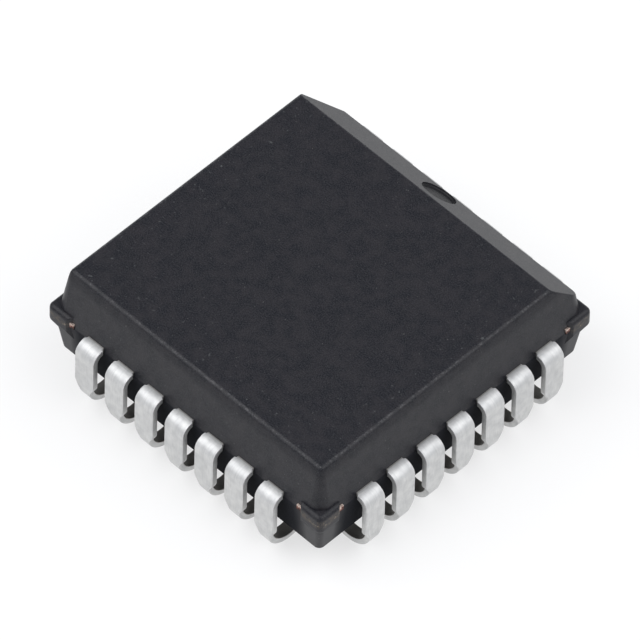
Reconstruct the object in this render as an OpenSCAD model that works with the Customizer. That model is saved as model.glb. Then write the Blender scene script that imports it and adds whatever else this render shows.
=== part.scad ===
// Programmable timer chip in a square plastic carrier with J-shaped leads.
// Seven leads leave each side at the parting line, turn down and curl in
// under the body. Z = 0 is the board, the origin lies under the middle of
// the package, and +Y is the bevelled side that carries pin 1.

/* [Body] */
// Top face above the board
height = 4.5; // [4.2:0.05:4.6]
// Underside above the board
standoff = 0.9; // [0.7:0.05:1.0]
// From the middle of a side's last lead to the body's edge at the parting line
corner_margin = 1.885; // [1.8:0.005:1.95]
// Draft of the upper half's walls, in degrees
upper_draft = 9.7; // [7:0.1:12]
// Draft of the lower half's walls, in degrees
lower_draft = 7.5; // [3:0.5:9]
// Corner radius at the top face, which the draft opens towards the foot
top_corner_radius = 0.17; // [0.15:0.01:0.3]
// Chamfer along the top edges
top_chamfer = 0.12; // [0.04:0.01:0.14]
// Corner radius of the lower half and of the ledges
corner_radius = 0.2; // [0.12:0.01:0.3]

/* [Pin 1 side] */
// Height of the bevel along the pin 1 side
bevel_height = 1.05; // [0.8:0.01:1.3]
// Slope of the bevel from level, in degrees
bevel_angle = 43; // [40:0.5:50]
// Leg of the cut corner at the parting line
corner_cut = 1.28; // [0.8:0.01:1.3]
// Draft of the cut corner's face on the upper half, in degrees
corner_draft = 4.5; // [2:0.5:12]
// Diameter of the round pin 1 dimple
dimple_diameter = 1.2; // [0.8:0.05:1.3]
// Depth of the dimple
dimple_depth = 0.1; // [0.05:0.01:0.2]
// Land between the dimple and the bevel's lower edge
dimple_land = 0.05; // [0.02:0.01:0.2]

/* [Corner ledges] */
// How far a ledge stands out from the wall at the parting line
ledge_proud = 0.1; // [0.08:0.005:0.12]
// Length of a ledge along each wall, from the corner
ledge_length = 0.82; // [0.7:0.02:0.9]
// Rise of the ledge above the parting line
ledge_rise = 0.4; // [0.3:0.02:0.5]
// Drop of the ledge's upright face below the parting line
ledge_drop = 0.22; // [0.15:0.01:0.4]
// Height of the slanted face under the ledge
ledge_taper = 0.38; // [0.2:0.02:0.5]
// Chamfer along the ledge's top edge
ledge_chamfer = 0.09; // [0.03:0.01:0.1]

/* [Leads] */
// Distance between neighbouring leads
pitch = 1.27; // [1.24:0.01:1.29]
// Space between the wall at the parting line and a lead's upright leg
leg_gap = 0.285; // [0.26:0.005:0.4]
// Thickness of the lead frame's strip
strip_thickness = 0.2; // [0.15:0.01:0.25]
// Underside of the strip above the board, which is also the parting line
strip_base = 2.47; // [2.3:0.01:2.6]
// Lead width where it leaves the body
root_width = 0.66; // [0.56:0.01:0.72]
// Lead width down the upright leg
leg_width = 0.78; // [0.66:0.01:0.81]
// Lead width round the curl
curl_width = 0.44; // [0.33:0.01:0.53]
// Inside radius of the shoulder bend
shoulder_radius = 0.21; // [0.15:0.01:0.25]
// Outside radius of the curl that stands on the board
curl_radius = 0.94; // [0.8:0.01:1.0]
// Straight rise of the tip after the curl
tip_rise = 0.16; // [0.05:0.01:0.25]
// Height above the board at which the leg starts to narrow
taper_top = 1.15; // [1.0:0.05:1.4]
// Height above the board at which the leg reaches the curl's width
taper_foot = 0.7; // [0.5:0.05:0.8]

/* [Underside] */
// Space above a lead tip in its pocket
tip_clearance = 0.15; // [0.05:0.01:0.25]
// Space round a lead tip in its pocket
pocket_clearance = 0.12; // [0.06:0.01:0.15]
// Diameter of the ejector mark
ejector_diameter = 1.6; // [1:0.1:2.5]
// Depth of the ejector mark
ejector_depth = 0.05; // [0.03:0.01:0.1]

/* [Inside] */
// Space between the die paddle and the lead fingers
finger_gap = 0.45; // [0.3:0.05:0.6]
// Finger width at its inner end
finger_width = 0.3; // [0.2:0.02:0.4]
// Distance between neighbouring fingers at their inner ends
finger_pitch = 0.6; // [0.5:0.02:0.62]
// Border of the square paddle round the die
paddle_border = 0.6; // [0.4:0.05:0.7]
// Width of the tie bars that hold the paddle
tie_bar_width = 0.22; // [0.18:0.02:0.3]
// How far a tie bar's cut end stands out from the wall at the parting line
tie_bar_proud = 0.025; // [0.01:0.005:0.05]
// Space between a tie bar and the ledge beside it
tie_bar_space = 0.025; // [0.01:0.005:0.1]
// Width of the square silicon die
die_width = 3.4; // [2.6:0.1:3.8]
// Thickness of the die
die_thickness = 0.3; // [0.2:0.02:0.4]
// Thickness of the adhesive under the die
adhesive_thickness = 0.03; // [0.02:0.01:0.05]
// Margin of adhesive and of the bond pads from the die's edge
die_margin = 0.15; // [0.1:0.01:0.2]
// Diameter of the bond wires
wire_diameter = 0.033; // [0.025:0.001:0.04]
// Height of the wire loops over the die
wire_loop = 0.18; // [0.1:0.01:0.3]

/* [Hidden] */
leads_per_side = 7;
sides = 4;
lead_count = leads_per_side * sides;
// places between the first lead of a side and pin 1, the middle one
pin_shift = (leads_per_side - 1) / 2;

$fn = 64;
past = 0.05;
far = 20;

strip_top = strip_base + strip_thickness;
half_width = pin_shift * pitch + corner_margin;
top_half = half_width - (height - strip_base) * tan(upper_draft);
base_half = half_width - (strip_base - standoff) * tan(lower_draft);

ledge_half = half_width + ledge_proud;
ledge_start = ledge_half - ledge_length;
ledge_flat = ledge_half - corner_radius;
ledge_top = strip_base + ledge_rise;
ledge_foot = strip_base - ledge_drop - ledge_taper;
ledge_foot_half = half_width - (ledge_drop + ledge_taper) * tan(lower_draft);

bevel_foot_z = height - bevel_height;
bevel_foot_y = top_half + bevel_height * tan(upper_draft);

// places of a lead's parts, measured out from the middle of the package
leg_face = half_width + leg_gap + strip_thickness;
shoulder_start = leg_face - shoulder_radius - strip_thickness;
flare_length = 0.05;
neck = half_width - 0.37;
curl_centre = leg_face - curl_radius;
tip_middle = curl_centre - curl_radius + strip_thickness / 2;
tip_top = curl_radius + tip_rise;
pocket_top = tip_top + tip_clearance;

die_base = strip_top + adhesive_thickness;
die_top = die_base + die_thickness;
pad_reach = die_width / 2 - die_margin;
pad_pitch = 2 * pad_reach / (leads_per_side + 1);
bond_inset = 0.18;

paddle_width = die_width + 2 * paddle_border;
finger_reach = paddle_width / 2 + finger_gap;
tie_bar_side = ledge_start - tie_bar_space - tie_bar_width / 2;
tie_bar_end = half_width + tie_bar_proud;
tie_bar_knee = half_width - 0.67;
tie_bar_fork = tie_bar_side - 0.63;

moulding = [0.18, 0.18, 0.2];
tin = [0.78, 0.78, 0.77];
copper = [0.72, 0.46, 0.28];
silver = [0.7, 0.7, 0.68];
silicon = [0.36, 0.38, 0.46];
gold = [0.9, 0.72, 0.3];

function lead_name(n) = str("lead_", n < 10 ? "0" : "", n);

// side that a pin is on, counted anticlockwise from the pin 1 side
function pin_place(n) = (n - 1 + pin_shift) % lead_count;
function pin_side(n) = floor(pin_place(n) / leads_per_side);
function pin_step(n) = pin_place(n) % leads_per_side - pin_shift;

// where a finger's middle line runs at a given distance from the middle
function finger_line(step, reach) =
    let (t = (reach - finger_reach) / (neck - finger_reach))
    step * (finger_pitch + t * (pitch - finger_pitch));

// Turns a child drawn along +X so that it faces out of the given side
module on_side(side) {
    rotate([0, 0, 90 * (side + 1)]) children();
}

module on_corner(corner) {
    rotate([0, 0, 90 * corner]) children();
}

// Bar with drafted faces along X, as long as the flats between the corners
module drafted_bar(z0, half0, z1, half1, length) {
    rotate([90, 0, 0])
        linear_extrude(length, center = true)
            polygon([[-half0, z0], [half0, z0], [half1, z1], [-half1, z1]]);
}

// Square block whose round corners open out as its walls lean
module drafted_block(z0, half0, z1, half1, flat_half) {
    drafted_bar(z0, half0, z1, half1, 2 * flat_half);
    rotate([0, 0, 90]) drafted_bar(z0, half0, z1, half1, 2 * flat_half);
    for (sx = [-1, 1], sy = [-1, 1])
        translate([sx * flat_half, sy * flat_half, z0])
            cylinder(h = z1 - z0, r1 = half0 - flat_half, r2 = half1 - flat_half);
}

// Square block whose walls lean and whose corners keep one radius: each
// corner is a cylinder that leans along the edge where two walls would meet
module leaning_block(z0, half0, z1, half1, radius) {
    lean = atan((half1 - half0) / (z1 - z0));
    inset = radius * cos(lean);
    axis = half0 - radius / cos(lean);
    tilt = atan(sqrt(2) * tan(lean));
    intersection() {
        union() {
            for (turn = [0, 90])
                rotate([0, 0, turn])
                    intersection() {
                        drafted_bar(z0, half0, z1, half1, far);
                        rotate([0, 0, 90])
                            drafted_bar(z0, half0 - inset, z1, half1 - inset, far);
                    }
            for (corner = [0:3])
                on_corner(corner)
                    translate([axis, axis, z0])
                        rotate([0, tilt, 45])
                            cylinder(h = far, r = radius, center = true);
        }
        translate([-far / 2, -far / 2, z0]) cube([far, far, z1 - z0]);
    }
}

// Space outside a plane that leans in by the draft over the pin 1 corner
module corner_space(half, leg, z, draft) {
    rotate([0, 0, 45])
        translate([0, (2 * half - leg) / sqrt(2), z])
            rotate([draft, 0, 0])
                translate([-far / 2, 0, -far / 2]) cube([far, far, far]);
}

// Places a child on the bevel's lower edge, with +Y out of the bevel's face
// and +Z up its slope
module on_bevel() {
    translate([0, bevel_foot_y, bevel_foot_z])
        rotate([90 - bevel_angle, 0, 0]) children();
}

module upper_half() {
    edge_z = height - top_chamfer;
    edge_half = top_half + top_chamfer * tan(upper_draft);
    flat_half = top_half - top_corner_radius;
    difference() {
        union() {
            drafted_block(strip_base, half_width, edge_z, edge_half, flat_half);
            drafted_block(edge_z, edge_half, height, edge_half - top_chamfer, flat_half);
        }
        on_bevel() translate([-far / 2, 0, -far / 2]) cube([far, far, far]);
        on_bevel()
            translate([0, 0, dimple_diameter / 2 + dimple_land])
                rotate([90, 0, 0])
                    cylinder(h = 2 * dimple_depth, d = dimple_diameter, center = true);
        corner_space(half_width, corner_cut, strip_base, corner_draft);
    }
}

module lower_half() {
    difference() {
        leaning_block(standoff, base_half, strip_base, half_width, corner_radius);
        corner_space(half_width, corner_cut, strip_base, -lower_draft);
    }
}

// Block whose corners are the ledges: it slants out from the wall's foot line,
// stands upright and ends in a chamfer
module ledge_block() {
    slope = (ledge_half - ledge_foot_half) / ledge_taper;
    root = ledge_foot - ledge_taper;
    intersection() {
        leaning_block(
            root, ledge_foot_half - slope * ledge_taper,
            ledge_top, ledge_half + slope * (ledge_rise + ledge_drop), corner_radius
        );
        drafted_block(root, ledge_half, ledge_top, ledge_half, ledge_flat);
        drafted_block(
            root, ledge_half - ledge_chamfer + ledge_top - root,
            ledge_top, ledge_half - ledge_chamfer, ledge_flat
        );
    }
}

module ledges() {
    difference() {
        intersection() {
            ledge_block();
            for (corner = [0:3])
                on_corner(corner)
                    linear_extrude(far)
                        polygon([
                            [ledge_start - ledge_length, ledge_half - ledge_length],
                            [ledge_half - ledge_length, ledge_start - ledge_length],
                            [far + ledge_length, far], [far, far + ledge_length]
                        ]);
        }
        corner_space(ledge_half, corner_cut, 0, 0);
    }
}

module tip_pocket(step) {
    width = strip_thickness + 2 * pocket_clearance;
    reach = curl_width / 2 + pocket_clearance;
    translate([tip_middle, step * pitch, standoff - past])
        linear_extrude(pocket_top - standoff + past) {
            square([width, 2 * reach - width], center = true);
            for (s = [-1, 1])
                translate([0, s * (reach - width / 2)]) circle(d = width);
        }
}

module underside_recesses() {
    for (side = [0:sides - 1], step = [-pin_shift:pin_shift])
        on_side(side) tip_pocket(step);
    translate([0, 0, standoff - past])
        cylinder(h = ejector_depth + past, d = ejector_diameter);
}

// Flat part of a lead: the shoulder outside the wall and the finger inside
module lead_finger(step) {
    middle = step * pitch;
    root = root_width / 2;
    leg = leg_width / 2;
    inner = finger_line(step, finger_reach);
    translate([0, 0, strip_base])
        linear_extrude(strip_thickness)
            polygon([
                [shoulder_start, middle - leg], [shoulder_start, middle + leg],
                [shoulder_start - flare_length, middle + root], [neck, middle + root],
                [finger_reach, inner + finger_width / 2],
                [finger_reach, inner - finger_width / 2],
                [neck, middle - root], [shoulder_start - flare_length, middle - root]
            ]);
}

// Side view of the strip from the shoulder round the curl to the tip
module lead_profile() {
    bend_z = strip_top - shoulder_radius - strip_thickness;
    translate([shoulder_start, bend_z])
        intersection() {
            difference() {
                circle(shoulder_radius + strip_thickness);
                circle(shoulder_radius);
            }
            square(far);
        }
    translate([leg_face - strip_thickness, curl_radius])
        square([strip_thickness, bend_z - curl_radius]);
    translate([curl_centre, curl_radius])
        intersection() {
            difference() {
                circle(curl_radius);
                circle(curl_radius - strip_thickness);
            }
            translate([-far / 2, -far]) square([far, far]);
        }
    translate([tip_middle - strip_thickness / 2, curl_radius])
        square([strip_thickness, tip_rise]);
}

// Width of the bent part: wide down the leg, narrow round the curl
module lead_widths() {
    leg = leg_width / 2;
    curl = curl_width / 2;
    translate([curl_centre, 0, 0])
        rotate([90, 0, 90])
            linear_extrude(far)
                polygon([
                    [-leg, strip_top + past], [leg, strip_top + past], [leg, taper_top],
                    [curl, taper_foot], [curl, -past], [-curl, -past],
                    [-curl, taper_foot], [-leg, taper_top]
                ]);
    translate([0, -curl, -past]) cube([curl_centre, curl_width, tip_top + 2 * past]);
}

module lead(n) {
    step = pin_step(n);
    color(tin)
        on_side(pin_side(n)) {
            lead_finger(step);
            translate([0, step * pitch, 0])
                intersection() {
                    rotate([90, 0, 0])
                        linear_extrude(2 * leg_width, center = true) lead_profile();
                    lead_widths();
                }
        }
}

// Strip of the frame between two points, square at its ends
module frame_bar(from, to) {
    run = to - from;
    translate(from)
        rotate(atan2(run[1], run[0]))
            translate([0, -tie_bar_width / 2]) square([norm(run), tie_bar_width]);
}

module tie_bar() {
    fork = [tie_bar_fork, tie_bar_fork];
    frame_bar([0, 0], fork);
    translate(fork) circle(d = tie_bar_width);
    for (flip = [0, 1])
        mirror([flip, -flip, 0]) {
            frame_bar(fork, [tie_bar_knee, tie_bar_side]);
            translate([tie_bar_knee, tie_bar_side]) circle(d = tie_bar_width);
            frame_bar([tie_bar_knee, tie_bar_side], [tie_bar_end, tie_bar_side]);
        }
}

// Paddle and its bars, which end just proud of the wall or of the cut corner's ledge
module die_paddle() {
    color(copper)
        difference() {
            translate([0, 0, strip_base])
                linear_extrude(strip_thickness) {
                    square(paddle_width, center = true);
                    for (corner = [0:3]) on_corner(corner) tie_bar();
                }
            corner_space(ledge_half + tie_bar_proud / 2, corner_cut, 0, 0);
        }
}

module die_adhesive() {
    width = die_width + 2 * die_margin;
    color(silver)
        translate([-width / 2, -width / 2, strip_top])
            cube([width, width, adhesive_thickness]);
}

module die() {
    color(silicon)
        translate([-die_width / 2, -die_width / 2, die_base])
            cube([die_width, die_width, die_thickness]);
}

// Round wire between two points
module wire_run(from, to) {
    run = to - from;
    translate(from)
        rotate([0, acos(run[2] / norm(run)), atan2(run[1], run[0])])
            cylinder(h = norm(run), d = wire_diameter);
}

// Wire that rises from its pad, turns over and drops to the lead's finger
module bond_wire(step) {
    bond_reach = finger_reach + bond_inset;
    pad = [pad_reach, step * pad_pitch, die_top];
    knee = pad + [0, 0, wire_loop];
    bond = [bond_reach, finger_line(step, bond_reach), strip_top];
    difference() {
        union() {
            wire_run(pad, knee);
            translate(knee) sphere(d = wire_diameter);
            wire_run(knee, bond + (bond - knee) * past);
        }
        translate([0, -far / 2, strip_top - far]) cube([far, far, far]);
    }
}

module bond_wires() {
    color(gold)
        for (side = [0:sides - 1], step = [-pin_shift:pin_shift])
            on_side(side) bond_wire(step);
}

// Moulded round the frame, the die and its wires, which fill it without a gap
module body() {
    color(moulding)
        difference() {
            union() {
                upper_half();
                lower_half();
                ledges();
            }
            underside_recesses();
            for (side = [0:sides - 1], step = [-pin_shift:pin_shift])
                on_side(side) lead_finger(step);
            die_paddle();
            die_adhesive();
            die();
            bond_wires();
        }
}

body();
die_paddle();
die_adhesive();
die();
bond_wires();
for (n = [1:lead_count])
    lead(n);
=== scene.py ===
"""A square moulded timer chip on 28 J leads: softened edges, materials, light and camera."""
import math
import random

import bmesh
import bpy
from mathutils import Matrix, Vector


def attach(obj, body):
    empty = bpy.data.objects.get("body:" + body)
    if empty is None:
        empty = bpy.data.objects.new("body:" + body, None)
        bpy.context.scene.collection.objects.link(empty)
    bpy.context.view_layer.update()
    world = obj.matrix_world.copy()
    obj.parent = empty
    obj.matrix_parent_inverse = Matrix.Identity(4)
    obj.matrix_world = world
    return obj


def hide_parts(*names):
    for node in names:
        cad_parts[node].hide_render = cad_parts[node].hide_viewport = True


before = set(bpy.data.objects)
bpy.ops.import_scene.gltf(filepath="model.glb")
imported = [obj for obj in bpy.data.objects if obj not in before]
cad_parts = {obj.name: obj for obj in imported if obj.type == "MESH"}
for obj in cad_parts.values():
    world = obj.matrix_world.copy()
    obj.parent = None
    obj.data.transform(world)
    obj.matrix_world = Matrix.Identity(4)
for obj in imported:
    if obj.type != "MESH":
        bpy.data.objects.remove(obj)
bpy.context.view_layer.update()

MM = 0.001

# The package, in millimetres, as the part's source gives it
HEIGHT = 4.5
STANDOFF = 0.9
BODY_WIDTH = 11.39
UPPER_DRAFT = math.radians(9.7)
LOWER_DRAFT = math.radians(7.5)
TOP_CORNER_RADIUS = 0.17
CORNER_RADIUS = 0.2
BEVEL_HEIGHT = 1.05
BEVEL_ANGLE = math.radians(43)
CORNER_CUT = 1.28
CORNER_DRAFT = math.radians(4.5)
DIMPLE_DIAMETER = 1.2
DIMPLE_DEPTH = 0.1
DIMPLE_LAND = 0.05
LEDGE_PROUD = 0.1
LEDGE_LENGTH = 0.82
LEDGE_RISE = 0.4
LEDGE_DROP = 0.22
LEDGE_TAPER = 0.38
LEADS_PER_SIDE = 7
PITCH = 1.27
LEG_GAP = 0.285
STRIP = 0.2
STRIP_BASE = 2.47
ROOT_WIDTH = 0.66
LEG_WIDTH = 0.78
CURL_WIDTH = 0.44
SHOULDER_RADIUS = 0.21
CURL_RADIUS = 0.94
TIP_RISE = 0.16
TAPER_TOP = 1.15
TAPER_FOOT = 0.7
TIP_CLEARANCE = 0.15
POCKET_CLEARANCE = 0.12
EJECTOR_DIAMETER = 1.6
EJECTOR_DEPTH = 0.05
FINGER_REACH = 2.75
FINGER_WIDTH = 0.3
FINGER_PITCH = 0.6
FLARE_LENGTH = 0.05
NECK_DEPTH = 0.37

HALF_WIDTH = BODY_WIDTH / 2
TOP_HALF = HALF_WIDTH - (HEIGHT - STRIP_BASE) * math.tan(UPPER_DRAFT)
BASE_HALF = HALF_WIDTH - (STRIP_BASE - STANDOFF) * math.tan(LOWER_DRAFT)
LEDGE_HALF = HALF_WIDTH + LEDGE_PROUD
LEDGE_START = LEDGE_HALF - LEDGE_LENGTH
LEDGE_FOOT = STRIP_BASE - LEDGE_DROP - LEDGE_TAPER
LEDGE_TOP = STRIP_BASE + LEDGE_RISE
BEVEL_FOOT = Vector((0, TOP_HALF + BEVEL_HEIGHT * math.tan(UPPER_DRAFT), HEIGHT - BEVEL_HEIGHT))
BEVEL_NORMAL = Vector((0, math.sin(BEVEL_ANGLE), math.cos(BEVEL_ANGLE)))
BEVEL_SLOPE = Vector((0, -math.cos(BEVEL_ANGLE), math.sin(BEVEL_ANGLE)))
LEG_FACE = HALF_WIDTH + LEG_GAP + STRIP
SHOULDER_START = LEG_FACE - SHOULDER_RADIUS - STRIP
NECK = HALF_WIDTH - NECK_DEPTH
CURL_CENTRE = LEG_FACE - CURL_RADIUS
TIP_MIDDLE = CURL_CENTRE - CURL_RADIUS + STRIP / 2
TIP_TOP = CURL_RADIUS + TIP_RISE
STRIP_MIDDLE = STRIP_BASE + STRIP / 2
PIN_SHIFT = (LEADS_PER_SIDE - 1) // 2

# Softened edges, in millimetres back from where two faces would meet
TOP_EDGE = 0.15
BEVEL_TOP_EDGE = 0.08
MOULD_EDGE = 0.05
LEDGE_EDGE = 0.035
LEDGE_ROUND = 0.16
DIMPLE_ROUND = 0.05
STRIP_EDGE = 0.02
TIP_TAPER = 0.03
# Millimetres under the top face, and millimetres that the wall leans in there
TOP_LEANS = ((0.4, 0.0), (0.2, 0.008), (0.0, 0.05))

# Heights in millimetres where the straight leg has a row of points
LEG_ROWS = (1.8, 1.3, 1.2, 1.12, 1.06, 1.0)
# Distances from the middle in millimetres where the finger has one
FINGER_ROWS = (FINGER_REACH, FINGER_REACH + 0.02, 3.6, 4.5, NECK)

# Steps in each round
EDGE_STEPS = 8
CORNER_STEPS = 8
LEDGE_STEPS = 8
DISC_STEPS = 48
POCKET_STEPS = 12
SHOULDER_STEPS = 8
CURL_STEPS = 36
STRIP_EDGE_STEPS = 3

# Angles between faces: from the first an edge is rounded, from the second it is shaded sharp
ROUNDED_FROM = math.radians(20)
SHARP_FROM = math.radians(15)
# Upward part of a normal: above the first a face is level, below the second it is a wall
LEVEL_FACE = 0.99
WALL_FACE = 0.5
# Millimetres: two heights this close are one, and a cutter reaches this far past what it cuts
CLOSE = 0.01
CUTTER_SPARE = 0.2
DIMPLE_CUTTER_TOP = 0.3


# Meshes are made in millimetres and brought to metres at the end

def finish_mesh(bm, name):
    """Mesh of a bmesh, with its faces turned outwards. The bmesh is freed."""
    mesh = bpy.data.meshes.new(name)
    bmesh.ops.recalc_face_normals(bm, faces=bm.faces)
    bm.to_mesh(mesh)
    bm.free()
    return mesh


def place(data, name):
    """New object in the scene that shows this data."""
    thing = bpy.data.objects.new(name, data)
    bpy.context.scene.collection.objects.link(thing)
    return thing


def applied(piece):
    """Mesh of a piece with its modifiers applied. The piece is removed."""
    graph = bpy.context.evaluated_depsgraph_get()
    result = bpy.data.meshes.new_from_object(piece.evaluated_get(graph))
    bpy.data.objects.remove(piece)
    return result


def rounded_square(half, radius, z):
    """Ring of a square with round corners, anticlockwise from above."""
    ring = []
    for corner in range(4):
        start = corner * math.pi / 2
        centre = Matrix.Rotation(start, 3, "Z") @ Vector((half - radius, half - radius, 0))
        for i in range(CORNER_STEPS + 1):
            angle = start + i / CORNER_STEPS * math.pi / 2
            ring.append(centre + Vector((radius * math.cos(angle), radius * math.sin(angle), z)))
    return ring


def ring_solid(rings):
    """Closed solid through rings that have the same number of points."""
    bm = bmesh.new()
    loops = [[bm.verts.new(p) for p in ring] for ring in rings]
    count = len(loops[0])
    for low, high in zip(loops, loops[1:]):
        for i in range(count):
            j = (i + 1) % count
            bm.faces.new((low[i], low[j], high[j], high[i]))
    bm.faces.new(list(reversed(loops[0])))
    bm.faces.new(loops[-1])
    bmesh.ops.recalc_face_normals(bm, faces=bm.faces)
    return bm


def revolve(profile):
    """Solid of revolution about Z from (radius, z) points, with flat ends."""
    rings = [[Vector((r * math.cos(2 * math.pi * i / DISC_STEPS),
                      r * math.sin(2 * math.pi * i / DISC_STEPS), z)) for i in range(DISC_STEPS)]
             for r, z in profile]
    return ring_solid(rings)


def cut(bm, point, normal):
    """Takes off what lies beyond a plane from a convex solid, and closes it."""
    found = bmesh.ops.bisect_plane(
        bm, geom=bm.verts[:] + bm.edges[:] + bm.faces[:], dist=1e-5,
        plane_co=point, plane_no=normal, clear_outer=True)
    edges = [g for g in found["geom_cut"] if isinstance(g, bmesh.types.BMEdge)]
    if edges:
        bmesh.ops.edgeloop_fill(bm, edges=edges)
        bmesh.ops.recalc_face_normals(bm, faces=bm.faces)


def soften(bm, name, width_of):
    """Mesh of the solid with each sharp edge rounded by the width that width_of() gives."""
    layer = bm.edges.layers.float.new("bevel_weight_edge")
    widths = {}
    for edge in bm.edges:
        if len(edge.link_faces) == 2 and edge.calc_face_angle() > ROUNDED_FROM:
            widths[edge] = width_of(edge)
    widest = max(widths.values())
    for edge, width in widths.items():
        edge[layer] = width / widest
    piece = place(finish_mesh(bm, name), name)
    step = piece.modifiers.new("step", "BEVEL")
    step.width = widest
    step.segments = EDGE_STEPS
    step.limit_method = "WEIGHT"
    return applied(piece)


def boolean(mesh, cutter, operation):
    """Boolean of two closed meshes, as a new mesh."""
    a = place(mesh, "boolean_a")
    b = place(cutter, "boolean_b")
    step = a.modifiers.new("step", "BOOLEAN")
    step.object = b
    step.operation = operation
    step.solver = "MANIFOLD"
    result = applied(a)
    bpy.data.objects.remove(b)
    return result


def corner_plane(half, leg, z, draft):
    """Point and outward normal of the plane that cuts the pin 1 corner."""
    out = Vector((-1, 1, 0)).normalized()
    point = out * (2 * half - leg) / math.sqrt(2) + Vector((0, 0, z))
    normal = out * math.cos(draft) + Vector((0, 0, math.sin(draft)))
    return point, normal


def upper_edge_width(edge):
    """Wide round the top face, less along the bevel, none at the parting line."""
    if max(v.co.z for v in edge.verts) < STRIP_BASE + CLOSE:
        return 0
    upward = [face.normal.z for face in edge.link_faces]
    if max(upward) > LEVEL_FACE:
        return TOP_EDGE if min(upward) < WALL_FACE else BEVEL_TOP_EDGE
    return MOULD_EDGE


def lower_edge_width(edge):
    """All edges alike, but none at the parting line."""
    return 0 if min(v.co.z for v in edge.verts) > STRIP_BASE - CLOSE else MOULD_EDGE


def ledge_edge_width(edge):
    """Ledges are softened where they stand out, and run into the wall below."""
    return LEDGE_EDGE if min(v.co.z for v in edge.verts) > LEDGE_FOOT - CLOSE else 0


def upper_half():
    """Drafted block whose walls lean in a little more just under the top face."""
    flat_half = TOP_HALF - TOP_CORNER_RADIUS
    rings = [rounded_square(HALF_WIDTH, HALF_WIDTH - flat_half, STRIP_BASE)]
    for down, inward in TOP_LEANS:
        half = TOP_HALF + down * math.tan(UPPER_DRAFT) - inward
        rings.append(rounded_square(half, half - flat_half, HEIGHT - down))
    bm = ring_solid(rings)
    cut(bm, BEVEL_FOOT, BEVEL_NORMAL)
    cut(bm, *corner_plane(HALF_WIDTH, CORNER_CUT, STRIP_BASE, CORNER_DRAFT))
    mesh = soften(bm, "upper_half", upper_edge_width)

    radius = DIMPLE_DIAMETER / 2
    dimple = revolve([
        (radius - DIMPLE_ROUND, -DIMPLE_DEPTH),
        (radius - 0.3 * DIMPLE_ROUND, 0.3 * DIMPLE_ROUND - DIMPLE_DEPTH),
        (radius, DIMPLE_ROUND - DIMPLE_DEPTH),
        (radius, DIMPLE_CUTTER_TOP),
    ])
    turn = BEVEL_NORMAL.to_track_quat("Z", "Y").to_matrix().to_4x4()
    centre = BEVEL_FOOT + BEVEL_SLOPE * (radius + DIMPLE_LAND)
    bmesh.ops.transform(dimple, matrix=Matrix.Translation(centre) @ turn, verts=dimple.verts)
    return boolean(mesh, finish_mesh(dimple, "dimple"), "DIFFERENCE")


def tip_pocket(step):
    """Round-ended pocket above one lead tip, on the side that faces +X."""
    radius = (STRIP + 2 * POCKET_CLEARANCE) / 2
    reach = CURL_WIDTH / 2 + POCKET_CLEARANCE - radius
    ring = []
    for end, start in ((1, 0), (-1, math.pi)):
        for i in range(POCKET_STEPS + 1):
            angle = math.pi * i / POCKET_STEPS + start
            ring.append(Vector((TIP_MIDDLE + radius * math.cos(angle),
                                step * PITCH + end * reach + radius * math.sin(angle), 0)))
    low = [p + Vector((0, 0, STANDOFF - CUTTER_SPARE)) for p in ring]
    high = [p + Vector((0, 0, TIP_TOP + TIP_CLEARANCE)) for p in ring]
    return ring_solid([low, high])


def lower_half():
    """Drafted block below the parting line, with the ejector mark and the tip pockets."""
    bm = ring_solid([
        rounded_square(BASE_HALF, CORNER_RADIUS, STANDOFF),
        rounded_square(HALF_WIDTH, CORNER_RADIUS, STRIP_BASE),
    ])
    cut(bm, *corner_plane(HALF_WIDTH, CORNER_CUT, STRIP_BASE, -LOWER_DRAFT))
    mesh = soften(bm, "lower_half", lower_edge_width)

    recesses = revolve([(EJECTOR_DIAMETER / 2, STANDOFF - CUTTER_SPARE),
                        (EJECTOR_DIAMETER / 2, STANDOFF + EJECTOR_DEPTH)])
    for side in range(4):
        for step in range(-PIN_SHIFT, PIN_SHIFT + 1):
            pocket = tip_pocket(step)
            pocket.transform(Matrix.Rotation(side * math.pi / 2, 4, "Z"))
            recesses.from_mesh(finish_mesh(pocket, "pocket"))
    return boolean(mesh, finish_mesh(recesses, "recesses"), "DIFFERENCE")


def ledge(corner):
    """Ledge at one corner, with a rounded top and a foot that slants back into the wall."""
    foot_half = HALF_WIDTH - (LEDGE_DROP + LEDGE_TAPER) * math.tan(LOWER_DRAFT)
    lean = LEDGE_HALF - foot_half
    rings = [rounded_square(foot_half - lean, CORNER_RADIUS, LEDGE_FOOT - LEDGE_TAPER),
             rounded_square(LEDGE_HALF, CORNER_RADIUS, STRIP_BASE - LEDGE_DROP)]
    for i in range(LEDGE_STEPS + 1):
        angle = i / LEDGE_STEPS * math.pi / 2
        inward = LEDGE_ROUND * (1 - math.cos(angle))
        rings.append(rounded_square(LEDGE_HALF - inward, CORNER_RADIUS - inward,
                                    LEDGE_TOP - LEDGE_ROUND * (1 - math.sin(angle))))
    bm = ring_solid(rings)
    cut(bm, Vector((LEDGE_START, LEDGE_HALF, 0)), Vector((-1, 1, 0)).normalized())
    cut(bm, Vector((LEDGE_HALF, LEDGE_START, 0)), Vector((1, -1, 0)).normalized())
    cut(bm, Vector((LEDGE_START, LEDGE_START, 0)), Vector((-1, -1, 0)).normalized())
    bm.transform(Matrix.Rotation(corner * math.pi / 2, 4, "Z"))
    if corner == 1:
        cut(bm, *corner_plane(LEDGE_HALF, CORNER_CUT, 0, 0))
    return soften(bm, "ledge", ledge_edge_width)


def moulded_body():
    mesh = boolean(upper_half(), lower_half(), "UNION")
    for corner in range(4):
        mesh = boolean(mesh, ledge(corner), "UNION")
    return mesh


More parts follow.
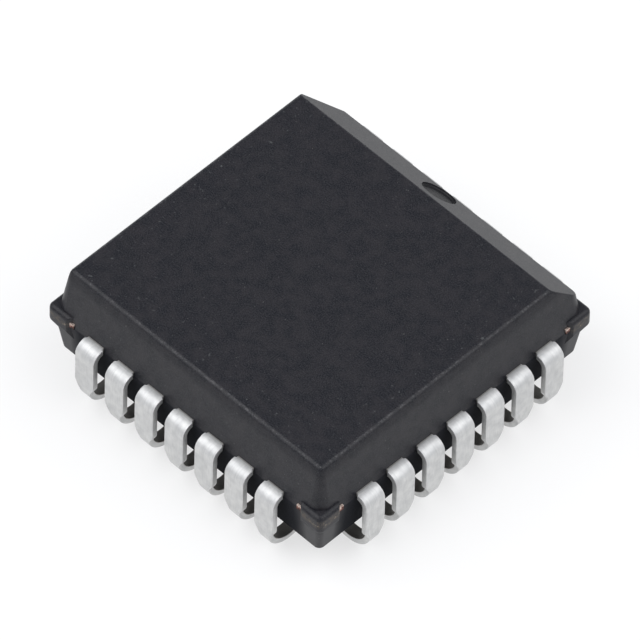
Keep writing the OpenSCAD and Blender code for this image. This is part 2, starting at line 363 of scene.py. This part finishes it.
def leg_width(z):
    """Width of the strip at a height: full above the taper, narrow in the curl."""
    t = min(1, max(0, (z - TAPER_FOOT) / (TAPER_TOP - TAPER_FOOT)))
    return CURL_WIDTH + t * t * (3 - 2 * t) * (LEG_WIDTH - CURL_WIDTH)


def lead_stations(step):
    """Points along the strip's middle: (reach, height, direction, place along the side, width)."""
    stations = []
    for reach in FINGER_ROWS:
        t = (reach - FINGER_REACH) / (NECK - FINGER_REACH)
        stations.append((reach, STRIP_MIDDLE, 0,
                         step * (FINGER_PITCH + t * (PITCH - FINGER_PITCH)),
                         FINGER_WIDTH + t * (ROOT_WIDTH - FINGER_WIDTH)))
    middle = step * PITCH
    for reach, width in ((NECK + CLOSE, ROOT_WIDTH),
                         (SHOULDER_START - FLARE_LENGTH, ROOT_WIDTH),
                         (SHOULDER_START - FLARE_LENGTH / 2, (ROOT_WIDTH + LEG_WIDTH) / 2),
                         (SHOULDER_START, LEG_WIDTH)):
        stations.append((reach, STRIP_MIDDLE, 0, middle, width))
    bend = SHOULDER_RADIUS + STRIP / 2
    bend_z = STRIP_MIDDLE - bend
    for i in range(1, SHOULDER_STEPS + 1):
        angle = i / SHOULDER_STEPS * math.pi / 2
        stations.append((SHOULDER_START + bend * math.sin(angle),
                         bend_z + bend * math.cos(angle), -angle, middle, LEG_WIDTH))
    for z in LEG_ROWS:
        stations.append((LEG_FACE - STRIP / 2, z, -math.pi / 2, middle, leg_width(z)))
    curl = CURL_RADIUS - STRIP / 2
    for i in range(CURL_STEPS + 1):
        angle = i / CURL_STEPS * math.pi
        z = CURL_RADIUS - curl * math.sin(angle)
        width = leg_width(z) if i < CURL_STEPS / 2 else CURL_WIDTH
        stations.append((CURL_CENTRE + curl * math.cos(angle), z,
                         -math.pi / 2 - angle, middle, width))
    for z, width in ((TIP_TOP - TIP_TAPER, CURL_WIDTH), (TIP_TOP, CURL_WIDTH - TIP_TAPER)):
        stations.append((TIP_MIDDLE, z, -1.5 * math.pi, middle, width))
    return stations


def strip_section(width):
    """Rounded rectangle as (along the side, across the strip) points."""
    points = []
    for sx, sy, start in ((1, 1, 0), (-1, 1, 90), (-1, -1, 180), (1, -1, 270)):
        for i in range(STRIP_EDGE_STEPS + 1):
            angle = math.radians(start + 90 * i / STRIP_EDGE_STEPS)
            points.append((sx * (width / 2 - STRIP_EDGE) + STRIP_EDGE * math.cos(angle),
                           sy * (STRIP / 2 - STRIP_EDGE) + STRIP_EDGE * math.sin(angle)))
    return points


def running_lengths(points):
    """Distance travelled at each point of a line."""
    lengths = [0.0]
    for a, b in zip(points, points[1:]):
        lengths.append(lengths[-1] + (Vector(b) - Vector(a)).length)
    return lengths


def lead_mesh(step, rng):
    """One J lead facing +X. Its UV is the way round the strip and the way along it."""
    bm = bmesh.new()
    uv = bm.loops.layers.uv.new("strip")
    stations = lead_stations(step)
    rows = []
    for reach, z, direction, along, width in stations:
        normal = Vector((-math.sin(direction), math.cos(direction)))
        rows.append([bm.verts.new((reach + normal.x * out, along + across, z + normal.y * out))
                     for across, out in strip_section(width)])
    run = running_lengths([station[:2] for station in stations])
    section = strip_section(LEG_WIDTH)
    around = running_lengths(section + section[:1])
    shift = rng.uniform(0, 50)
    for r in range(len(rows) - 1):
        for i in range(len(section)):
            j = (i + 1) % len(section)
            face = bm.faces.new((rows[r][i], rows[r][j], rows[r + 1][j], rows[r + 1][i]))
            for loop, (a, b) in zip(face.loops, ((i, r), (i + 1, r), (i + 1, r + 1), (i, r + 1))):
                loop[uv].uv = (around[a] + shift, run[b])
    bm.faces.new(rows[0])
    bm.faces.new(rows[-1][::-1])
    return finish_mesh(bm, "lead")


def dress(mesh, name, materials):
    """Brings a millimetre mesh to metres and gives it its materials and normals."""
    mesh.transform(Matrix.Scale(MM, 4))
    mesh.name = name
    mesh.materials.clear()
    for material in materials:
        mesh.materials.append(material)
    for polygon in mesh.polygons:
        polygon.use_smooth = True
        polygon.material_index = 0
    mesh.set_sharp_from_angle(angle=SHARP_FROM)
    piece = place(mesh, name)
    weight = piece.modifiers.new("face_weight", "WEIGHTED_NORMAL")
    weight.keep_sharp = True
    return piece


# Nodes

def new_material(name):
    material = bpy.data.materials.new(name)
    material.use_nodes = True
    return material, material.node_tree, material.node_tree.nodes["Principled BSDF"]


def node(tree, kind, **values):
    """New node, with its sockets and settings given by name."""
    made = tree.nodes.new(kind)
    for key, value in values.items():
        if key in made.inputs:
            made.inputs[key].default_value = value
        else:
            setattr(made, key, value)
    return made


def noise(tree, vector, scale, detail, roughness=0.5):
    """Noise with `scale` cells to a metre, or to a unit of the vector."""
    made = node(tree, "ShaderNodeTexNoise", Scale=scale, Detail=detail, Roughness=roughness)
    tree.links.new(vector, made.inputs["Vector"])
    return made.outputs["Fac"]


def remap(tree, value, low, high, to_low=0.0, to_high=1.0):
    """The value brought from one range to another, and held inside it."""
    made = tree.nodes.new("ShaderNodeMapRange")
    for key, number in (("From Min", low), ("From Max", high),
                        ("To Min", to_low), ("To Max", to_high)):
        made.inputs[key].default_value = number
    tree.links.new(value, made.inputs["Value"])
    return made.outputs["Result"]


def share(tree, mask, most):
    """A mask of 0 to 1, lowered to reach no more than `most`."""
    return remap(tree, mask, 0.0, 1.0, 0.0, most)


def combine(tree, operation, *values):
    """One maths operation over two or more values."""
    total = values[0]
    for value in values[1:]:
        step = node(tree, "ShaderNodeMath", operation=operation)
        tree.links.new(total, step.inputs[0])
        tree.links.new(value, step.inputs[1])
        total = step.outputs[0]
    return total


def mix_colour(tree, factor, a, b):
    """Colour a where the factor is 0 and b where it is 1. Each is a tuple or a socket."""
    made = tree.nodes.new("ShaderNodeMix")
    made.data_type = "RGBA"
    tree.links.new(factor, made.inputs[0])
    for socket, colour in ((made.inputs[6], a), (made.inputs[7], b)):
        if isinstance(colour, tuple):
            socket.default_value = (*colour, 1)
        else:
            tree.links.new(colour, socket)
    return made.outputs[2]


def mix_shader(tree, factor, a, b):
    """Shader a where the factor is 0 and b where it is 1."""
    made = tree.nodes.new("ShaderNodeMixShader")
    for index, output in enumerate((factor, a, b)):
        tree.links.new(output, made.inputs[index])
    return made.outputs[0]


def bump(tree, height, strength, distance):
    made = node(tree, "ShaderNodeBump", Strength=strength, Distance=distance)
    tree.links.new(height, made.inputs["Height"])
    return made.outputs["Normal"]


def position(tree):
    """Place on the piece, in metres."""
    return node(tree, "ShaderNodeTexCoord").outputs["Object"]


def split(tree, vector, absolute=False):
    """X, Y and Z of a vector, or their sizes."""
    parts = node(tree, "ShaderNodeSeparateXYZ")
    tree.links.new(vector, parts.inputs["Vector"])
    if not absolute:
        return tuple(parts.outputs)
    sizes = []
    for part in parts.outputs:
        size = node(tree, "ShaderNodeMath", operation="ABSOLUTE")
        tree.links.new(part, size.inputs[0])
        sizes.append(size.outputs[0])
    return tuple(sizes)


def height_on(tree):
    return split(tree, position(tree))[2]


def upward(tree):
    """Upward part of the surface's normal."""
    return split(tree, node(tree, "ShaderNodeNewGeometry").outputs["Normal"])[2]


# Masks of the moulding: 1 where each finish, painted highlight or painted shade is strongest, and
# 0 outside its place

def top_edge_wear_and_highlight_mask(tree):
    """Along the rounded edge of the top face, at the slope that faces the lamps: a painted
    highlight, together with wear where handling wears the skin.
    """
    up = upward(tree)
    return combine(tree, "MULTIPLY", remap(tree, up, 0.72, 0.84), remap(tree, up, 0.99, 0.92),
                   remap(tree, height_on(tree), (HEIGHT - 0.2) * MM, (HEIGHT - 0.15) * MM))


def brow_mask(tree):
    """On the walls just below the top edge."""
    return combine(tree, "MULTIPLY", remap(tree, upward(tree), 0.68, 0.6),
                   remap(tree, height_on(tree), (HEIGHT - 0.5) * MM, (HEIGHT - 0.3) * MM))


def corner_mask(tree):
    """On the ledges' outer faces at the height of the strip."""
    x, y, z = split(tree, position(tree), absolute=True)
    return combine(tree, "MULTIPLY", remap(tree, combine(tree, "MAXIMUM", x, y),
                                           (HALF_WIDTH + 0.03) * MM, (HALF_WIDTH + 0.06) * MM),
                   remap(tree, z, (STRIP_BASE - 0.1) * MM, (STRIP_BASE + 0.02) * MM),
                   remap(tree, z, (STRIP_BASE + 0.28) * MM, (STRIP_BASE + 0.16) * MM))


def scuff_mask(tree):
    """On the top face towards its edges, where scuffs gather."""
    x, y = split(tree, position(tree), absolute=True)[:2]
    return combine(tree, "MULTIPLY", remap(tree, combine(tree, "MAXIMUM", x, y),
                                           (TOP_HALF - 2.2) * MM, (TOP_HALF - 0.3) * MM),
                   remap(tree, upward(tree), 0.9, 0.98))


def shade_and_matt_mask(tree):
    """Painted shade and a rougher skin on the walls between the leads, and less where walls lean
    in below the parting line.
    """
    x, y, z = split(tree, position(tree), absolute=True)
    between = combine(tree, "MULTIPLY",
                      remap(tree, combine(tree, "MINIMUM", x, y), 5.0 * MM, 4.5 * MM),
                      remap(tree, z, (STRIP_BASE + 0.1) * MM, STRIP_BASE * MM))
    up = upward(tree)
    shaded_and_rough = combine(tree, "MAXIMUM", between, remap(tree, up, -0.2, -0.3, 0.0, 0.4))
    return combine(tree, "MULTIPLY", shaded_and_rough, remap(tree, up, -0.8, -0.6))


# Materials, with colours in linear light

EPOXY_DARK = (0.0045, 0.0052, 0.0085)
EPOXY_LIGHT = (0.0155, 0.0142, 0.0172)
EPOXY_GRAIN = (0.032, 0.032, 0.037)
# Painted shade: darker epoxy between the leads and on faces that face down
EPOXY_PAINTED_SHADE = (0.006, 0.007, 0.011)
FILLER_SPECK = (0.08, 0.08, 0.077)
SCUFF = (0.075, 0.078, 0.08)
# Wear and a painted highlight along the top edge
WORN_EDGE_AND_HIGHLIGHT = (0.1, 0.1, 0.105)
CORNER_STAIN = (0.062, 0.048, 0.036)
CORNER_SMEAR = (0.2, 0.16, 0.12)
DIMPLE_DARK = (0.006, 0.006, 0.008)
DIMPLE_LIGHT = (0.014, 0.014, 0.016)
TIN_DARK = (0.595, 0.598, 0.597)
TIN_LIGHT = (0.72, 0.72, 0.712)
TIN_STREAK = (0.54, 0.54, 0.54)
# Stain at the root, and painted shade inside the curl
TIN_STAIN_AND_SHADE = (0.12, 0.1, 0.07)
# Painted shade of the torn notch below the copper's cut end
COPPER_NOTCH_SHADE = (0.018, 0.01, 0.009)
COPPER = (0.2, 0.075, 0.055)
COPPER_BRIGHT = (0.8, 0.66, 0.58)
GOLD_DARK = (0.85, 0.6, 0.2)
GOLD_LIGHT = (0.95, 0.74, 0.34)
SILVER_EPOXY_DARK = (0.6, 0.6, 0.58)
SILVER_EPOXY_LIGHT = (0.72, 0.72, 0.7)
SILICON_DARK = (0.2, 0.22, 0.3)
SILICON_LIGHT = (0.3, 0.32, 0.4)


def moulding_material():
    """Black epoxy: fine filler grain, faint clouds, a few pale filler specks, and wear, with a
    painted highlight along the top edge and painted shade between the leads and on faces that face
    down.
    """
    material, tree, shader = new_material("moulding_compound")
    place_on = position(tree)
    grain = noise(tree, place_on, scale=24000, detail=2, roughness=0.6)
    cloud = noise(tree, place_on, scale=2600, detail=4, roughness=0.65)
    specks = noise(tree, place_on, scale=14000, detail=1, roughness=0.4)
    colour = mix_colour(tree, remap(tree, cloud, 0.38, 0.62), EPOXY_DARK, EPOXY_LIGHT)
    colour = mix_colour(tree, remap(tree, grain, 0.4, 0.75), colour, EPOXY_GRAIN)
    colour = mix_colour(tree, remap(tree, specks, 0.74, 0.82), colour, FILLER_SPECK)
    corner = corner_mask(tree)
    for mask, patches, low, high, finish in (
            (scuff_mask(tree), (7500, 2, 0.6), 0.66, 0.76, SCUFF),
            # Lighter along the top edge: painted highlight, and wear
            (top_edge_wear_and_highlight_mask(tree), (9000, 4, 0.7), 0.5, 0.75, WORN_EDGE_AND_HIGHLIGHT),
            (corner, (6500, 4, 0.7), 0.42, 0.62, CORNER_STAIN),
            (corner, (8000, 4, 0.75), 0.58, 0.68, CORNER_SMEAR)):
        ragged = remap(tree, noise(tree, place_on, *patches), low, high)
        colour = mix_colour(tree, combine(tree, "MULTIPLY", mask, ragged), colour, finish)
    # Darker base between the leads and on faces that face down: painted shade, with a rougher skin
    # there too.
    shade_and_matt = shade_and_matt_mask(tree)
    tree.links.new(mix_colour(tree, shade_and_matt, colour, EPOXY_PAINTED_SHADE), shader.inputs["Base Color"])
    satin = combine(tree, "ADD", remap(tree, grain, 0.3, 0.7, 0.34, 0.46),
                    share(tree, brow_mask(tree), 0.14), share(tree, shade_and_matt, 0.5))
    tree.links.new(satin, shader.inputs["Roughness"])
    shader.inputs["IOR"].default_value = 1.345
    tree.links.new(bump(tree, grain, 0.4, 0.003 * MM), shader.inputs["Normal"])
    return material


def dimple_material():
    """The same epoxy in the dimple, where the ejector pin left it duller."""
    material, tree, shader = new_material("moulding_ejector")
    grain = noise(tree, position(tree), scale=20000, detail=2)
    tree.links.new(mix_colour(tree, grain, DIMPLE_DARK, DIMPLE_LIGHT), shader.inputs["Base Color"])
    tree.links.new(remap(tree, grain, 0.3, 0.7, 0.48, 0.6), shader.inputs["Roughness"])
    shader.inputs["IOR"].default_value = 1.4
    tree.links.new(bump(tree, grain, 0.25, 0.003 * MM), shader.inputs["Normal"])
    return material


def tin_material():
    """Dull tin plate: satin, faintly streaked along the strip, stained at the root, and
    darkened inside the curl as painted shade."""
    material, tree, shader = new_material("tinned_lead")
    strip = node(tree, "ShaderNodeUVMap", uv_map="strip").outputs["UV"]
    stretch = node(tree, "ShaderNodeMapping", Scale=(22, 1.6, 1))
    tree.links.new(strip, stretch.inputs["Vector"])
    lines = noise(tree, stretch.outputs["Vector"], scale=1, detail=3, roughness=0.6)
    patches = noise(tree, position(tree), scale=3600, detail=3, roughness=0.55)
    spots = noise(tree, position(tree), scale=15000, detail=2)
    colour = mix_colour(tree, remap(tree, patches, 0.3, 0.7), TIN_DARK, TIN_LIGHT)
    colour = mix_colour(tree, remap(tree, lines, 0.5, 0.75, 0.0, 0.35), colour, TIN_STREAK)
    wall = HALF_WIDTH - FINGER_REACH
    root = remap(tree, split(tree, strip)[1], wall - 0.01, wall + 0.02, 0.5, 0.0)
    # Darker on the upward faces inside the curl: painted shade
    inside = combine(tree, "MULTIPLY", remap(tree, upward(tree), 0.05, 0.3),
                     remap(tree, height_on(tree), CURL_RADIUS * MM,
                           (CURL_RADIUS + 0.2) * MM, 0.55, 0.0))
    colour = mix_colour(tree, combine(tree, "MAXIMUM", root, inside), colour, TIN_STAIN_AND_SHADE)
    tree.links.new(colour, shader.inputs["Base Color"])
    shader.inputs["Metallic"].default_value = 1.0
    tree.links.new(remap(tree, lines, 0.3, 0.7, 0.5, 0.66), shader.inputs["Roughness"])
    height = combine(tree, "ADD", lines, spots)
    tree.links.new(bump(tree, height, 0.25, 0.006 * MM), shader.inputs["Normal"])
    return material


def copper_material():
    """Sheared copper: nearly black below as painted shade of the torn notch, tarnished above that,
    and torn bright along the top of the cut, paled there as a painted highlight.
    """
    material, tree, shader = new_material("frame_copper")
    ragged = noise(tree, position(tree), scale=9000, detail=3, roughness=0.6)
    rise = combine(tree, "ADD", remap(tree, height_on(tree), STRIP_BASE * MM,
                                      (STRIP_BASE + STRIP) * MM),
                   remap(tree, ragged, 0.3, 0.7, -0.45, 0.45))
    # Nearly black towards the bottom of the cut end: painted shade of the notch
    colour = mix_colour(tree, remap(tree, rise, 0.1, 0.5), COPPER_NOTCH_SHADE, COPPER)
    # Pale along the top: torn copper, paled as a painted highlight
    colour = mix_colour(tree, remap(tree, rise, 0.55, 0.85), colour, COPPER_BRIGHT)
    tree.links.new(colour, shader.inputs["Base Color"])
    shader.inputs["Metallic"].default_value = 0.8
    tree.links.new(remap(tree, ragged, 0.3, 0.7, 0.4, 0.6), shader.inputs["Roughness"])
    tree.links.new(bump(tree, ragged, 0.5, 0.02 * MM), shader.inputs["Normal"])
    return material


def gold_material():
    """Drawn gold wire, polished, with a faint unevenness."""
    material, tree, shader = new_material("gold_wire")
    patches = noise(tree, position(tree), scale=5000, detail=3)
    tree.links.new(mix_colour(tree, patches, GOLD_DARK, GOLD_LIGHT), shader.inputs["Base Color"])
    tree.links.new(remap(tree, patches, 0.3, 0.7, 0.2, 0.35), shader.inputs["Roughness"])
    shader.inputs["Metallic"].default_value = 1.0
    tree.links.new(bump(tree, patches, 0.3, 0.01 * MM), shader.inputs["Normal"])
    return material


def mottled_material(name, low, high, roughness):
    """Plain material with soft patches between two colours."""
    material, tree, shader = new_material(name)
    patches = noise(tree, position(tree), scale=6000, detail=2)
    tree.links.new(mix_colour(tree, patches, low, high), shader.inputs["Base Color"])
    tree.links.new(remap(tree, patches, 0.3, 0.7, roughness, roughness + 0.1),
                   shader.inputs["Roughness"])
    return material


# The chip

def build_body():
    body = dress(moulded_body(), "moulded_body", [moulding_material(), dimple_material()])
    centre = (BEVEL_FOOT + BEVEL_SLOPE * (DIMPLE_DIAMETER / 2 + DIMPLE_LAND)) * MM
    for polygon in body.data.polygons:
        offset = polygon.center - centre
        depth = -offset.dot(BEVEL_NORMAL)
        if offset.length < DIMPLE_DIAMETER / 2 * MM and depth > DIMPLE_DEPTH / 2 * MM:
            polygon.material_index = 1
    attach(body, "root")
    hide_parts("body")


def build_leads():
    """Leads from pin 1, in the middle of the +Y side, anticlockwise from above."""
    tin = tin_material()
    rng = random.Random(28)
    count = 4 * LEADS_PER_SIDE
    for pin in range(1, count + 1):
        spot = (pin - 1 + PIN_SHIFT) % count
        side, step = spot // LEADS_PER_SIDE, spot % LEADS_PER_SIDE - PIN_SHIFT
        mesh = lead_mesh(step, rng)
        mesh.transform(Matrix.Rotation((side + 1) * math.pi / 2, 4, "Z"))
        lead = dress(mesh, f"strip_lead_{pin:02d}", [tin])
        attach(lead, "root")
        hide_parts(f"lead_{pin:02d}")


def dress_inside():
    """Materials of the CAD nodes that stay: the paddle, and what is hidden in the moulding."""
    for name, material in (
            ("die_paddle", copper_material()),
            ("die_adhesive", mottled_material("silver_epoxy", SILVER_EPOXY_DARK,
                                              SILVER_EPOXY_LIGHT, 0.45)),
            ("die", mottled_material("silicon", SILICON_DARK, SILICON_LIGHT, 0.15)),
            ("bond_wires", gold_material())):
        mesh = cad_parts[name].data
        mesh.materials.clear()
        mesh.materials.append(material)


# The studio: lengths of the camera in millimetres and pixels, the rest in metres and watts

VIEW_AZIMUTH = math.radians(43.708)
VIEW_ELEVATION = math.radians(51.597)
VIEW_ROLL = math.radians(1.555)
VIEW_DISTANCE = 523.3
VIEW_FOCAL = 17363
VIEW_SHIFT = (0.0497, 1.360)
FRAME_PIXELS = 640
SENSOR = 36
CLIP = (0.01, 10)
WORLD_COLOUR = (0.39, 0.405, 0.44)
FLOOR_COLOUR = (0.93, 0.93, 0.93)
FLOOR_HALF = 1.2
FLOOR_DROP = 0.00002
# Part of the floor that shows as white background. The rest shows light and shadow.
FLOOR_SHARE = 0.65
LAMP_DISTANCE = 0.5
LAMP_SIZE = 0.5
# Azimuth and elevation in degrees, and power
LAMPS = {"key": (-40, 52, 1.85), "fill": (125, 50, 1.5)}


def build_camera():
    """Camera with the pose and focal length that were solved from the photo."""
    flat_right = Vector((math.cos(VIEW_AZIMUTH), math.sin(VIEW_AZIMUTH), 0))
    forward = Vector((-math.sin(VIEW_AZIMUTH) * math.cos(VIEW_ELEVATION),
                      math.cos(VIEW_AZIMUTH) * math.cos(VIEW_ELEVATION),
                      -math.sin(VIEW_ELEVATION)))
    flat_up = flat_right.cross(forward)
    right = flat_right * math.cos(VIEW_ROLL) + flat_up * math.sin(VIEW_ROLL)
    up = flat_up * math.cos(VIEW_ROLL) - flat_right * math.sin(VIEW_ROLL)
    data = bpy.data.cameras.new("camera")
    data.sensor_width = SENSOR
    data.lens = VIEW_FOCAL * SENSOR / FRAME_PIXELS
    data.clip_start, data.clip_end = CLIP
    camera = place(data, "camera")
    spot = -VIEW_DISTANCE * forward + VIEW_SHIFT[0] * right + VIEW_SHIFT[1] * up
    axes = Matrix((right, up, -forward)).transposed().to_4x4()
    camera.matrix_world = Matrix.Translation(spot * MM) @ axes
    bpy.context.scene.camera = camera


def build_world():
    world = bpy.data.worlds.new("studio")
    bpy.context.scene.world = world
    world.use_nodes = True
    background = world.node_tree.nodes["Background"]
    background.inputs["Color"].default_value = (*WORLD_COLOUR, 1)
    background.inputs["Strength"].default_value = 1.0


def shown_rays(tree):
    """1 on rays that see the background itself: camera, glossy and transmission."""
    rays = tree.nodes.new("ShaderNodeLightPath").outputs
    return combine(tree, "MAXIMUM", rays["Is Camera Ray"], rays["Is Glossy Ray"],
                   rays["Is Transmission Ray"])


def build_floor():
    """Pale floor that shows as nearly white, and lets a view from beneath see the chip."""
    bm = bmesh.new()
    bmesh.ops.create_grid(bm, x_segments=1, y_segments=1, size=FLOOR_HALF)
    floor = place(finish_mesh(bm, "floor"), "floor")
    floor.location.z = -FLOOR_DROP
    material, tree, shader = new_material("pale_floor")
    shader.inputs["Base Color"].default_value = (*FLOOR_COLOUR, 1)
    shader.inputs["Roughness"].default_value = 0.9
    shader.inputs["Specular IOR Level"].default_value = 0.0
    white = node(tree, "ShaderNodeEmission", Strength=1.0)
    shown = shown_rays(tree)
    pale = mix_shader(tree, share(tree, shown, FLOOR_SHARE), shader.outputs[0], white.outputs[0])
    beneath = combine(tree, "MULTIPLY", shown,
                      node(tree, "ShaderNodeNewGeometry").outputs["Backfacing"])
    seen = mix_shader(tree, beneath, pale, node(tree, "ShaderNodeBsdfTransparent").outputs[0])
    tree.links.new(seen, tree.nodes["Material Output"].inputs["Surface"])
    floor.data.materials.append(material)


def build_lamp(name, azimuth, elevation, power):
    """Square soft lamp that looks at the chip from a compass angle and a height."""
    data = bpy.data.lights.new(name, "AREA")
    data.shape = "SQUARE"
    data.size = LAMP_SIZE
    data.energy = power
    lamp = place(data, name)
    a, e = math.radians(azimuth), math.radians(elevation)
    spot = LAMP_DISTANCE * Vector((math.sin(a) * math.cos(e), -math.cos(a) * math.cos(e),
                                   math.sin(e)))
    lamp.location = spot
    lamp.rotation_euler = (-spot).to_track_quat("-Z", "Y").to_euler()


build_camera()
build_world()
build_floor()
for lamp_name, aim in LAMPS.items():
    build_lamp(lamp_name, *aim)
bpy.context.scene.view_settings.view_transform = "Standard"

build_body()
build_leads()
dress_inside()
